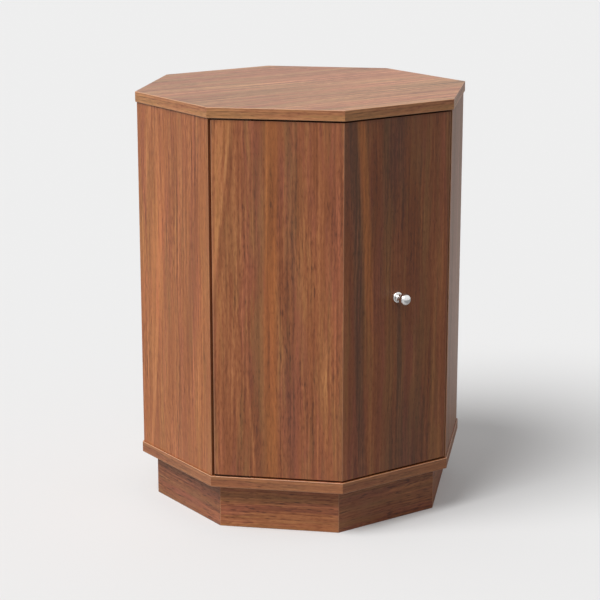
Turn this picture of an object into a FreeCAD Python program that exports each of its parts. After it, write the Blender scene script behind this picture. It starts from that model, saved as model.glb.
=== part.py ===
import FreeCAD, Part
import os
import re

import Sketcher

# Driving sizes in millimetres: name, value, what it measures
SIZES = [
    # Carcass
    ("across_flats", 457.0, "top and deck boards, flat to flat"),
    ("height", 609.0, "floor to table top"),
    ("top_thickness", 15.0, "top board"),
    ("deck_thickness", 16.0, "deck board under the cupboard"),
    ("arris", 0.8, "rounding of the top and deck boards' edges"),
    ("panel_inset", 2.0, "edge of the top back to the walls' outer face"),
    ("panel_thickness", 15.0, "wall and door boards"),
    ("plinth_height", 66.0, "floor to the deck's underside"),
    ("plinth_recess", 20.5, "edge of the deck back to the plinth's face"),
    ("plinth_thickness", 15.0, "plinth boards"),
    # Clearances
    ("hole_clearance", 0.1, "round pegs, bolts and screws in their holes"),
    ("end_clearance", 0.5, "past the end of a peg or screw in its hole"),
    ("running_clearance", 0.05, "round the hinge pin"),
    ("hinge_gap", 3.4, "door to wall at the hinge corner"),
    ("latch_gap", 2.0, "door to wall at the closing corner"),
    ("overrun", 1.0, "length by which a cut passes the solid"),
    # Splines in the mitred corners
    ("spline_thickness", 3.0, "plywood tongue"),
    ("spline_width", 12.0, "plywood tongue, over both boards"),
    # Pegs and cam fittings between the walls and the two eight-sided boards
    ("dowel_diameter", 8.0, "wooden peg"),
    ("dowel_length", 30.0, "wooden peg"),
    ("dowel_seat", 10.0, "depth of the peg in the top or deck"),
    ("dowel_spread", 55.0, "peg to the middle of its wall"),
    ("cam_diameter", 14.8, "cam in the wall's inner face"),
    ("cam_depth", 12.0, "cam behind its rim"),
    ("cam_rim", 17.0, "rim of the cam, across"),
    ("cam_rim_thickness", 0.7, "rim of the cam"),
    ("cam_setback", 24.0, "wall's edge to the cam's middle"),
    ("cam_slot_length", 9.0, "cross slot for the driver"),
    ("cam_slot_width", 1.8, "cross slot for the driver"),
    ("cam_slot_depth", 2.0, "cross slot for the driver"),
    ("bolt_diameter", 7.0, "cam bolt's shank and head"),
    ("bolt_neck", 4.0, "cam bolt behind its head"),
    ("bolt_head", 4.0, "cam bolt's head, along the bolt"),
    ("bolt_thread", 5.0, "cam bolt in the top or deck"),
    ("bolt_seat", 10.0, "depth of the cam bolt's thread"),
    # Plinth blocks
    ("block_leg", 30.0, "corner block along each plinth board"),
    ("block_back", 14.0, "corner block behind its legs"),
    ("block_height", 40.0, "corner block"),
    ("block_screw_diameter", 4.0, "screw up through the block"),
    ("block_screw_head", 8.0, "screw up through the block"),
    ("block_screw_head_height", 2.6, "screw up through the block"),
    ("block_screw_bite", 10.0, "screw in the deck"),
    # Pivot hinges
    ("pin_diameter", 3.0, "hinge pin"),
    ("pin_inset", 3.2, "pin's middle to the door's face and to its edge"),
    ("nose_margin", 0.2, "door's face to the round nose of the leaf"),
    ("leaf_thickness", 1.6, "hinge leaves and plates"),
    ("leaf_width", 9.0, "hinge leaves and plates"),
    ("leaf_length", 50.0, "pin's middle to the leaf's far end"),
    ("washer_thickness", 0.8, "washer between leaf and plate"),
    ("washer_diameter", 5.6, "washer between leaf and plate"),
    ("hinge_screw_diameter", 3.0, "countersunk screw"),
    ("hinge_screw_head", 5.6, "countersunk screw"),
    ("hinge_screw_length", 12.0, "countersunk screw, head included"),
    ("screw_tip", 2.5, "pointed end of a wood screw"),
    # Magnetic catch
    ("catch_offset", 44.0, "middle of the door's side board to the catch"),
    ("catch_length", 46.0, "flange of the catch"),
    ("catch_ear", 17.5, "catch's middle to its screws"),
    ("catch_flange", 3.0, "flange of the catch"),
    ("catch_block", 24.0, "block of the catch, along the door"),
    ("catch_depth", 14.0, "catch, square to the door"),
    ("catch_height", 13.0, "block of the catch, flange included"),
    ("catch_gap", 0.2, "catch to the strike plate"),
    ("catch_screw_diameter", 3.0, "screw up through the flange"),
    ("catch_screw_head", 6.0, "screw up through the flange"),
    ("catch_screw_head_height", 2.0, "screw up through the flange"),
    ("catch_screw_length", 12.0, "screw up through the flange"),
    ("magnet_length", 18.0, "magnet, along the door"),
    ("magnet_thickness", 5.0, "magnet"),
    ("magnet_depth", 9.0, "magnet, square to the door"),
    ("pole_thickness", 1.2, "steel plates above and below the magnet"),
    ("strike_length", 26.0, "strike plate on the door"),
    ("strike_height", 9.0, "strike plate on the door"),
    ("strike_thickness", 1.5, "strike plate on the door"),
    # Knob
    ("knob_base_diameter", 16.2, "foot of the knob"),
    ("knob_base_thickness", 2.5, "foot of the knob"),
    ("knob_base_taper", 1.0, "foot of the knob, narrower at its outer face"),
    ("knob_flare_diameter", 10.0, "neck where it leaves the foot"),
    ("knob_neck_diameter", 7.0, "neck where it meets the head"),
    ("knob_head_diameter", 17.2, "round head"),
    ("knob_projection", 25.5, "door's face to the end of the head"),
    ("knob_bore_depth", 9.0, "threaded hole in the knob"),
    ("knob_screw_diameter", 4.0, "screw through the door"),
    ("knob_screw_head", 8.0, "screw through the door"),
    ("knob_screw_head_height", 2.8, "screw through the door"),
]
SPLINE_PLACE_SHARE = 0.6  # of the board's thickness, from the outer face
HINGE_SCREW_SHARES = (0.36, 0.8)  # of the leaf's length, from the pin

# Facets in order from the front, turning towards the right of someone facing it
FACETS = ("front", "front_right", "right", "back_right", "back", "back_left", "left", "front_left")
SIDES = len(FACETS)
TURN = 360 / SIDES
HALF_TURN = TURN / 2
SIN, COS, TAN = (f"{name}({HALF_TURN})" for name in ("sin", "cos", "tan"))
DOOR_FRONT, DOOR_SIDE = FACETS.index("front"), FACETS.index("front_right")
FIRST_WALL, LAST_WALL = FACETS.index("right"), FACETS.index("front_left")
WALLS = range(FIRST_WALL, LAST_WALL + 1)

# Distances from the middle of the table, and heights, that several pieces share
BODY = "(across_flats / 2 - panel_inset)"
INNER = f"({BODY} - panel_thickness)"
MIDDLE = f"({BODY} - panel_thickness / 2)"
PLINTH = "(across_flats / 2 - plinth_recess)"
PLINTH_CORNER = f"(({PLINTH} - plinth_thickness) / {COS})"
SPLINE_OUT = f"(({BODY} - panel_thickness * {SPLINE_PLACE_SHARE}) / {COS})"
DECK_TOP = "(plinth_height + deck_thickness)"
TOP_UNDER = "(height - top_thickness)"
WALL = f"({TOP_UNDER} - {DECK_TOP})"
DOOR_GAP = "(leaf_thickness + washer_thickness)"
DOOR_LOW = f"({DECK_TOP} + {DOOR_GAP})"
DOOR_HIGH = f"({TOP_UNDER} - {DOOR_GAP})"
DOOR = f"({DOOR_HIGH} - {DOOR_LOW})"
KNOB_LEVEL = f"(({DOOR_LOW} + {DOOR_HIGH}) / 2)"

# The hinge pin stands just inside the door's outer corner, so the corner clears the wall as it turns
HINGE_CUT = f"(hinge_gap / {COS})"
LATCH_CUT = f"(latch_gap / {COS})"
PIN_ALONG = f"({HINGE_CUT} + pin_inset - {BODY} * {TAN})"
PIN_OUT = f"({BODY} - pin_inset)"
NOSE = "(pin_inset - nose_margin)"
HINGE_SCREWS = [(f"leaf_length * {share}", f"leaf_width / 2 - {NOSE}") for share in HINGE_SCREW_SHARES]
HINGE_HEAD_DEPTH = "((hinge_screw_head - hinge_screw_diameter) / 2)"

CATCH_FRONT = f"({INNER} - strike_thickness - catch_gap)"
CATCH_LEVEL = f"({TOP_UNDER} - (catch_height + catch_flange) / 2)"
CATCH_EARS = [f"catch_offset {sign} catch_ear" for sign in "-+"]
BLOCK_SCREW_OUT = f"({PLINTH_CORNER} - (block_leg * {SIN} + block_back) / 2)"

doc = FreeCAD.newDocument("storage_side_table")
dims = doc.addObject("Spreadsheet::Sheet", "dims")
for row, (name, size, note) in enumerate(SIZES, 1):
    dims.set(f"A{row}", name)
    dims.set(f"B{row}", str(size))
    dims.setAlias(f"B{row}", name)
    dims.set(f"C{row}", note)
doc.recompute()
NAMES = {name for name, size, note in SIZES}
AXIS_X = FreeCAD.Vector(1, 0, 0)
AXIS_Z = FreeCAD.Vector(0, 0, 1)
NODES = []


def formula(text):
    """The text with every size's name pointed at its cell."""
    return re.sub(r"[a-z_]+", lambda word: f"dims.{word[0]}" if word[0] in NAMES else word[0], text)


def value(text):
    """What a formula comes to, in millimetres."""
    return float(dims.evalExpression(formula(text)))


def bind(thing, **formulas):
    """Ties properties of a document object to formulas."""
    for name, text in formulas.items():
        thing.setExpression(name, formula(text))
    return thing


def turned(turn, along, out):
    """x and y of a point `along` and `out` on the facet that is `turn` degrees from the front."""
    return (
        f"(({along}) * cos({turn}) + ({out}) * sin({turn}))",
        f"(({along}) * sin({turn}) - ({out}) * cos({turn}))",
    )


def seat(thing, turn, along, out, level, pointing="up", spin=0):
    """Puts a piece on a facet, its own +Z pointing up, outwards or down, after a spin about that axis."""
    tilt = {"up": 0, "outwards": 90, "down": 180}[pointing]
    facing = FreeCAD.Rotation(AXIS_Z, turn) * FreeCAD.Rotation(AXIS_X, tilt)
    thing.Placement = FreeCAD.Placement(FreeCAD.Vector(), facing * FreeCAD.Rotation(AXIS_Z, spin))
    for axis, text in zip("xyz", (*turned(turn, along, out), level)):
        thing.setExpression(f"Placement.Base.{axis}", formula(text))
    return thing


def node(thing, label):
    """Gives a finished sub-part its name and puts it on the list to be written."""
    thing.Label = label
    NODES.append(thing)
    return thing


# Part primitives


def cylinder(name, diameter, length):
    return bind(doc.addObject("Part::Cylinder", name), Radius=f"({diameter}) / 2", Height=length)


def cone(name, low, high, length):
    thing = doc.addObject("Part::Cone", name)
    return bind(thing, Radius1=f"({low}) / 2", Radius2=f"({high}) / 2", Height=length)


def cuboid(name, length, width, tall):
    return bind(doc.addObject("Part::Box", name), Length=length, Width=width, Height=tall)


def raised(thing, level):
    """Moves a piece of a pattern up its own axis."""
    thing.setExpression("Placement.Base.z", formula(level))
    return thing


def joined(name, *pieces):
    thing = doc.addObject("Part::MultiFuse", name)
    thing.Shapes = pieces
    return thing


def cut_from(name, base, *tools):
    thing = doc.addObject("Part::Cut", name)
    thing.Base = base
    thing.Tool = tools[0] if len(tools) == 1 else joined(f"{name}_tools", *tools)
    return thing


def grouped(label, members):
    """One sub-part of several separate solids."""
    thing = doc.addObject("Part::Compound", label)
    thing.Links = members
    return node(thing, label)


def copies(label, pattern, places):
    """Several copies of one pattern, each seated at its place, as one sub-part."""
    links = []
    for place in places:
        link = doc.addObject("App::Link", f"{label}_copy")
        link.LinkedObject = pattern
        links.append(seat(link, *place))
    return grouped(label, links)


# Sketches and features of a body


def new_body(label):
    return node(doc.addObject("PartDesign::Body", label), label)


def new_sketch(body, plane="XY_Plane", offset="0"):
    """A sketch on one of the body's origin planes, moved along that plane's normal."""
    sketch = body.newObject("Sketcher::SketchObject", "Sketch")
    support = next(item for item in body.Origin.OriginFeatures if item.Role == plane)
    sketch.AttachmentSupport = [(support, "")]
    sketch.MapMode = "FlatFace"
    sketch.setExpression("AttachmentOffset.Base.z", formula(offset))
    return sketch


def hold(sketch, kind, anchor, text):
    """A dimension of the sketch, tied to a formula."""
    index = sketch.addConstraint(Sketcher.Constraint(kind, *anchor, value(text)))
    sketch.setExpression(f"Constraints[{index}]", formula(text))


def hold_point(sketch, geometry, point, x, y):
    """Holds one point of the sketch at x, y from the origin."""
    hold(sketch, "DistanceX", (-1, 1, geometry, point), x)
    hold(sketch, "DistanceY", (-1, 1, geometry, point), y)


def outline(sketch, points):
    """A closed outline of straight lines through the points."""
    corners = [FreeCAD.Vector(value(x), value(y)) for x, y in points]
    lines = [sketch.addGeometry(Part.LineSegment(a, b)) for a, b in zip(corners, corners[1:] + corners[:1])]
    for line, after in zip(lines, lines[1:] + lines[:1]):
        sketch.addConstraint(Sketcher.Constraint("Coincident", line, 2, after, 1))
    for line, (x, y) in zip(lines, points):
        hold_point(sketch, line, 1, x, y)
    return sketch


def circles(sketch, spots, diameter):
    """Circles of one diameter round the spots."""
    radius = f"(({diameter}) / 2)"
    for x, y in spots:
        middle = FreeCAD.Vector(value(x), value(y))
        circle = sketch.addGeometry(Part.Circle(middle, AXIS_Z, value(radius)))
        hold_point(sketch, circle, 3, x, y)
        hold(sketch, "Radius", (circle,), radius)
    return sketch


def pad(body, sketch, length):
    feature = body.newObject("PartDesign::Pad", "Pad")
    feature.Profile = sketch
    return bind(feature, Length=length)


def pocket(body, sketch, depth, along_normal=False):
    """Cuts the sketch into the body, against its normal or along it, and stops if nothing was cut."""
    doc.recompute()
    before = body.Shape.Volume
    feature = body.newObject("PartDesign::Pocket", "Pocket")
    feature.Profile = sketch
    feature.Reversed = along_normal
    bind(feature, Length=depth)
    doc.recompute()
    if not body.Shape.Volume < before:
        raise RuntimeError(f"{body.Label}: {sketch.Label} cuts nothing")
    return feature


def round_pattern(body, features, turn, count):
    """Repeats features round the body's Z axis, the last copy `turn` degrees from the first."""
    pattern = body.newObject("PartDesign::PolarPattern", "PolarPattern")
    pattern.Originals = features
    pattern.Axis = (features[0].Profile[0], ["N_Axis"])
    pattern.Angle = turn
    pattern.Occurrences = count
    body.Tip = pattern
    return pattern


# Eight-sided boards


def eight_corners(apothem):
    angles = [TURN * k - HALF_TURN for k in range(SIDES)]
    return [(f"{apothem} / {COS} * sin({angle})", f"-{apothem} / {COS} * cos({angle})") for angle in angles]


def leaf_points(margin):
    """The strap of a hinge leaf from above, the pin at 0, 0 and the room at +y."""
    near, far = f"{NOSE} + {margin}", f"leaf_width - {NOSE} + {margin}"
    return [
        ("0", f"-({near})"),
        (f"leaf_length + {margin}", f"-({near})"),
        (f"leaf_length + {margin}", far),
        (f"leaf_width - 2 * {NOSE}", far),
        ("0", near),
    ]


def at_pin(points):
    """Points round the hinge pin, as places on the front facet."""
    return [(f"{PIN_ALONG} + {x}", f"{y} - {PIN_OUT}") for x, y in points]


def eight_sided_board(label, level, thickness, joint_up):
    """The top or deck: its joint face, up or down, takes the pegs, bolts and hinge plate."""
    body = new_body(label)
    bind(body, **{"Placement.Base.z": level})
    board = pad(body, outline(new_sketch(body), eight_corners("across_flats / 2")), thickness)
    doc.recompute()
    edges = enumerate(board.Shape.Edges, 1)
    rims = [f"Edge{n}" for n, edge in edges if edge.BoundBox.ZLength < edge.Length / 2]
    rounding = body.newObject("PartDesign::Fillet", "Fillet")
    rounding.Base = (board, rims)
    bind(rounding, Radius="arris")

    def joint_sketch():
        return new_sketch(body, offset=thickness if joint_up else "0")

    def cut(sketch, depth):
        return pocket(body, sketch, depth, along_normal=not joint_up)

    first = FIRST_WALL * TURN
    pegs = [turned(first, f"{sign}dowel_spread", MIDDLE) for sign in ("-", "")]
    bolts = [turned(first, "0", MIDDLE)]
    peg_holes = circles(joint_sketch(), pegs, "dowel_diameter + 2 * hole_clearance")
    bolt_hole = circles(joint_sketch(), bolts, "bolt_thread + 2 * hole_clearance")
    bores = [cut(peg_holes, "dowel_seat + end_clearance"), cut(bolt_hole, "bolt_seat + end_clearance")]
    round_pattern(body, bores, (LAST_WALL - FIRST_WALL) * TURN, len(WALLS))
    cut(outline(joint_sketch(), at_pin(leaf_points("hole_clearance"))), "leaf_thickness")
    cut(circles(joint_sketch(), at_pin([("0", "0")]), f"2 * ({NOSE} + hole_clearance)"), "leaf_thickness")
    pilots = circles(joint_sketch(), at_pin(HINGE_SCREWS), "hinge_screw_diameter + 2 * hole_clearance")
    cut(pilots, "hinge_screw_length + end_clearance")
    return body


def top_board():
    body = eight_sided_board("top_panel", TOP_UNDER, "top_thickness", joint_up=False)
    spots = [turned(DOOR_SIDE * TURN, along, f"{CATCH_FRONT} - catch_depth / 2") for along in CATCH_EARS]
    pilots = circles(new_sketch(body), spots, "catch_screw_diameter + 2 * hole_clearance")
    pocket(body, pilots, "catch_screw_length - catch_flange + end_clearance", along_normal=True)


def deck_board():
    body = eight_sided_board("deck_panel", "plinth_height", "deck_thickness", joint_up=True)
    spot = [turned(HALF_TURN, "0", BLOCK_SCREW_OUT)]
    pilot = circles(new_sketch(body), spot, "block_screw_diameter + 2 * hole_clearance")
    cut = pocket(body, pilot, "block_screw_bite + end_clearance", along_normal=True)
    round_pattern(body, [cut], 360, SIDES)


# Walls and door boards


def mitred_end(side, gap, grooved):
    """Plan of one end of a board on the front facet, from its outer arris to its inner one."""
    middle = f"({BODY} - panel_thickness * {SPLINE_PLACE_SHARE})"
    half = "(spline_thickness / 2 + hole_clearance)"
    deep = "(spline_width / 2 + hole_clearance)"
    groove = [(half, "0"), (half, deep), (f"(-{half})", deep), (f"(-{half})", "0")] if grooved else []
    points = [(f"{BODY} * {TAN}", BODY)]
    for across, depth in groove:
        points.append((
            f"{middle} * {TAN} + {SIN} * {across} - {COS} * {depth}",
            f"{middle} + {COS} * {across} + {SIN} * {depth}",
        ))
    points.append((f"{INNER} * {TAN}", INNER))
    return [(f"{side} * ({along} - {gap})", f"-({out})") for along, out in points]


def wall_board(label, facet, level, tall, left, right):
    """An upright board with mitred ends, each end a gap and whether it is grooved for a spline."""
    body = new_body(label)
    section = mitred_end(1, *right) + mitred_end(-1, *left)[::-1]
    pad(body, outline(new_sketch(body), section), tall)
    return seat(body, facet * TURN, "0", "0", level)


def fixed_wall(facet):
    ends = ("0", facet > FIRST_WALL), ("0", facet < LAST_WALL)
    body = wall_board(f"{FACETS[facet]}_panel", facet, DECK_TOP, WALL, *ends)
    pegs = [(f"{sign}dowel_spread", f"-{MIDDLE}") for sign in ("-", "")]
    for offset, upwards in (("0", True), (WALL, False)):
        peg_holes = circles(new_sketch(body, offset=offset), pegs, "dowel_diameter + 2 * hole_clearance")
        pocket(body, peg_holes, "dowel_length - dowel_seat + end_clearance", upwards)
        bolt_hole = circles(
            new_sketch(body, offset=offset), [("0", f"-{MIDDLE}")], "bolt_diameter + 2 * hole_clearance"
        )
        pocket(body, bolt_hole, "cam_setback", upwards)
    spots = [("0", "cam_setback"), ("0", f"{WALL} - cam_setback")]
    cams = circles(new_sketch(body, "XZ_Plane", INNER), spots, "cam_diameter + 2 * hole_clearance")
    pocket(body, cams, "cam_depth + end_clearance", along_normal=True)


def door_boards():
    front = wall_board("door_front_panel", DOOR_FRONT, DOOR_LOW, DOOR, (HINGE_CUT, False), ("0", True))
    for offset, upwards in (("0", True), (DOOR, False)):
        sketch = new_sketch(front, offset=offset)
        pilots = circles(sketch, at_pin(HINGE_SCREWS), "hinge_screw_diameter + 2 * hole_clearance")
        pocket(front, pilots, "hinge_screw_length - leaf_thickness + end_clearance", upwards)
    side = wall_board("door_side_panel", DOOR_SIDE, DOOR_LOW, DOOR, ("0", True), (LATCH_CUT, False))
    knob_hole = circles(
        new_sketch(side, "XZ_Plane", INNER),
        [("0", f"{KNOB_LEVEL} - {DOOR_LOW}")],
        "knob_screw_diameter + 2 * hole_clearance",
    )
    pocket(side, knob_hole, "panel_thickness + overrun", along_normal=True)
    strike_hole = circles(
        new_sketch(side, "XZ_Plane", INNER),
        [("catch_offset", f"{CATCH_LEVEL} - {DOOR_LOW}")],
        "hinge_screw_diameter + 2 * hole_clearance",
    )
    pocket(side, strike_hole, "hinge_screw_length - strike_thickness + end_clearance", along_normal=True)


def spline(name, corner, tall, level):
    """The tongue across the mitre between a facet and the next."""
    tongue = cuboid(name, "spline_width", "spline_thickness", tall)
    place = f"{SPLINE_OUT} + spline_thickness / 2"
    return seat(tongue, corner * TURN + HALF_TURN, "-spline_width / 2", place, level)


def corner_splines():
    corners = range(FIRST_WALL, LAST_WALL)
    grouped("corner_splines", [spline(f"corner_spline_{n}", n, WALL, DECK_TOP) for n in corners])
    node(spline("door_spline", DOOR_FRONT, DOOR, DOOR_LOW), "door_spline")


# Fittings between the walls and the top and deck


def wall_fittings():
    peg = cylinder("dowel", "dowel_diameter", "dowel_length")
    neck_low = "(cam_setback - 1.5 * bolt_head)"
    head_low = "(cam_setback - bolt_head / 2)"
    bolt = joined(
        "bolt_pattern",
        raised(cylinder("bolt_screw", "bolt_thread", "bolt_seat"), "-bolt_seat"),
        cylinder("bolt_shank", "bolt_diameter", neck_low),
        raised(cylinder("bolt_waist", "bolt_neck", f"{head_low} - {neck_low}"), neck_low),
        raised(cylinder("bolt_end", "bolt_diameter", "bolt_head"), head_low),
    )
    cam = cam_pattern()
    turns = [facet * TURN for facet in WALLS]
    spots = [(turn, along) for turn in turns for along in ("-dowel_spread", "dowel_spread")]
    ends = {
        # end: pegs', bolts' and cams' levels, way of pegs and bolts, spin of cams
        "top": (f"{TOP_UNDER} + dowel_seat", TOP_UNDER, f"{TOP_UNDER} - cam_setback", "down", 0),
        "bottom": (f"{DECK_TOP} - dowel_seat", DECK_TOP, f"{DECK_TOP} + cam_setback", "up", 180),
    }
    for end, (peg_level, bolt_level, cam_level, way, spin) in ends.items():
        copies(f"{end}_dowels", peg, [(turn, along, MIDDLE, peg_level, way) for turn, along in spots])
        copies(f"{end}_cam_bolts", bolt, [(turn, "0", MIDDLE, bolt_level, way) for turn in turns])
        cams = [(turn, "0", INNER, cam_level, "outwards", spin) for turn in turns]
        copies(f"{end}_cam_locks", cam, cams)


def cam_pattern():
    """A cam, its rim on the wall's inner face, open towards its own +Y for the bolt's head."""
    drum = joined(
        "cam_drum",
        cylinder("cam_barrel", "cam_diameter", "cam_depth"),
        raised(cylinder("cam_flange", "cam_rim", "cam_rim_thickness"), "-cam_rim_thickness"),
    )
    width = "(bolt_diameter + 2 * hole_clearance)"
    back = "(bolt_head / 2 + end_clearance)"
    mouth = cuboid("cam_mouth", width, f"cam_rim / 2 + {back}", width)
    bind(mouth, **{
        "Placement.Base.x": f"-{width} / 2",
        "Placement.Base.y": f"-{back}",
        "Placement.Base.z": f"panel_thickness / 2 - {width} / 2",
    })
    slots = []
    for name, length, width in (
        ("cam_slot_across", "cam_slot_length", "cam_slot_width"),
        ("cam_slot_along", "cam_slot_width", "cam_slot_length"),
    ):
        slot = cuboid(name, length, width, "cam_slot_depth + overrun")
        slots.append(bind(slot, **{
            "Placement.Base.x": f"-{length} / 2",
            "Placement.Base.y": f"-{width} / 2",
            "Placement.Base.z": "-cam_rim_thickness - overrun",
        }))
    return cut_from("cam", drum, mouth, *slots)


# Plinth


def plinth():
    back = f"({PLINTH} - plinth_thickness)"
    section = [
        (f"-{PLINTH} * {TAN}", f"-{PLINTH}"),
        (f"{PLINTH} * {TAN}", f"-{PLINTH}"),
        (f"{back} * {TAN}", f"-{back}"),
        (f"-{back} * {TAN}", f"-{back}"),
    ]
    for facet, name in enumerate(FACETS):
        body = new_body(f"plinth_{name}")
        pad(body, outline(new_sketch(body), section), "plinth_height")
        seat(body, facet * TURN, "0", "0", "0")
    block = doc.addObject("PartDesign::Body", "block_pattern")
    side, reach = f"block_leg * {COS}", f"block_leg * {SIN}"
    plan = [
        ("0", "0"),
        (side, reach),
        (side, f"{reach} + block_back"),
        (f"-{side}", f"{reach} + block_back"),
        (f"-{side}", reach),
    ]
    pad(block, outline(new_sketch(block), plan), "block_height")
    hole = circles(
        new_sketch(block),
        [("0", f"{PLINTH_CORNER} - {BLOCK_SCREW_OUT}")],
        "block_screw_diameter + 2 * hole_clearance",
    )
    pocket(block, hole, "block_height + overrun", along_normal=True)
    low = "plinth_height - block_height"
    corners = [HALF_TURN + TURN * k for k in range(SIDES)]
    copies("plinth_corner_blocks", block, [(turn, "0", PLINTH_CORNER, low) for turn in corners])
    screw = pan_screw("block_screw", "block_height + block_screw_bite")
    copies("plinth_screws", screw, [(turn, "0", BLOCK_SCREW_OUT, low) for turn in corners])


# Screws, each pattern driven along its own +Z from under its head


def pan_screw(name, length):
    """A round-headed wood screw, its seat at 0."""
    return joined(
        f"{name}_pattern",
        raised(cylinder(f"{name}_top", f"{name}_head", f"{name}_head_height"), f"-{name}_head_height"),
        cylinder(f"{name}_shank", f"{name}_diameter", f"{length} - screw_tip"),
        raised(cone(f"{name}_point", f"{name}_diameter", "0", "screw_tip"), f"{length} - screw_tip"),
    )


def flush_screw():
    """A countersunk wood screw, the flat of its head at 0."""
    low = "(hinge_screw_length - screw_tip)"
    shank = cylinder("hinge_screw_shank", "hinge_screw_diameter", f"{low} - {HINGE_HEAD_DEPTH}")
    return joined(
        "hinge_screw_pattern",
        cone("hinge_screw_top", "hinge_screw_head", "hinge_screw_diameter", HINGE_HEAD_DEPTH),
        raised(shank, HINGE_HEAD_DEPTH),
        raised(cone("hinge_screw_point", "hinge_screw_diameter", "0", "screw_tip"), low),
    )


# Hinges


def hinge_leaf(label, level, heads_up, pin_hole):
    """A leaf or plate with a round nose about the pin, its screw holes countersunk on one face."""
    body = new_body(label)
    pad(body, outline(new_sketch(body), leaf_points("0")), "leaf_thickness")
    pad(body, circles(new_sketch(body), [("0", "0")], f"2 * {NOSE}"), "leaf_thickness")
    bore = circles(new_sketch(body), [("0", "0")], pin_hole)
    pocket(body, bore, "leaf_thickness + overrun", along_normal=True)
    sketch = new_sketch(body, offset="leaf_thickness" if heads_up else "0")
    circles(sketch, HINGE_SCREWS, "hinge_screw_diameter + 2 * hole_clearance")
    doc.recompute()
    before = body.Shape.Volume
    hole = body.newObject("PartDesign::Hole", "Hole")
    hole.Profile = sketch
    doc.recompute()
    hole.Reversed = not heads_up
    hole.DepthType = "ThroughAll"
    hole.HoleCutType = "Countersink"
    hole.HoleCutCustomValues = True
    hole.HoleCutCountersinkAngle = 90
    bind(
        hole,
        Diameter="hinge_screw_diameter + 2 * hole_clearance",
        HoleCutDiameter="hinge_screw_head + 2 * hole_clearance",
    )
    doc.recompute()
    if not body.Shape.Volume < before:
        raise RuntimeError(f"{label}: the screw holes cut nothing")
    return seat(body, DOOR_FRONT * TURN, PIN_ALONG, PIN_OUT, level)


def hinges():
    turning = "pin_diameter + 2 * running_clearance"
    pin_length = f"{DOOR_GAP} + leaf_thickness - hole_clearance"
    washer_hole = cylinder("washer_bore", turning, "washer_thickness + 2 * overrun")
    ring = cut_from(
        "washer_pattern",
        cylinder("washer_disc", "washer_diameter", "washer_thickness"),
        raised(washer_hole, "-overrun"),
    )
    screw = flush_screw()
    leaf_top, plate_low = f"({DOOR_HIGH} + leaf_thickness)", f"({DECK_TOP} - leaf_thickness)"
    leaf_low = f"({DECK_TOP} + washer_thickness)"
    pin_low = f"({DOOR_HIGH} + hole_clearance)"
    ends = {
        # end: plate, leaf, washer and pin levels, faces and ways of the plate's and leaf's screws
        "top": (TOP_UNDER, DOOR_HIGH, leaf_top, pin_low, TOP_UNDER, "up", leaf_top, "down"),
        "bottom": (plate_low, leaf_low, DECK_TOP, plate_low, DECK_TOP, "down", leaf_low, "up"),
    }
    turn = DOOR_FRONT * TURN
    plate_screws, leaf_screws = [], []
    for end, (plate, leaf, washer, pin, plate_face, plate_way, leaf_face, leaf_way) in ends.items():
        hinge_leaf(f"{end}_hinge_plate", plate, plate_way == "down", "pin_diameter")
        hinge_leaf(f"{end}_hinge_leaf", leaf, leaf_way == "down", turning)
        rod = cylinder(f"{end}_pin", "pin_diameter", pin_length)
        node(seat(rod, turn, PIN_ALONG, PIN_OUT, pin), f"{end}_hinge_pin")
        copies(f"{end}_hinge_washer", ring, [(turn, PIN_ALONG, PIN_OUT, washer)])
        for x, y in HINGE_SCREWS:
            spot = (turn, f"{PIN_ALONG} + {x}", f"{PIN_OUT} - ({y})")
            plate_screws.append((*spot, plate_face, plate_way))
            leaf_screws.append((*spot, leaf_face, leaf_way))
    copies("hinge_plate_screws", screw, plate_screws)
    copies("hinge_leaf_screws", screw, leaf_screws)
    return screw


# Catch and knob


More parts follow.
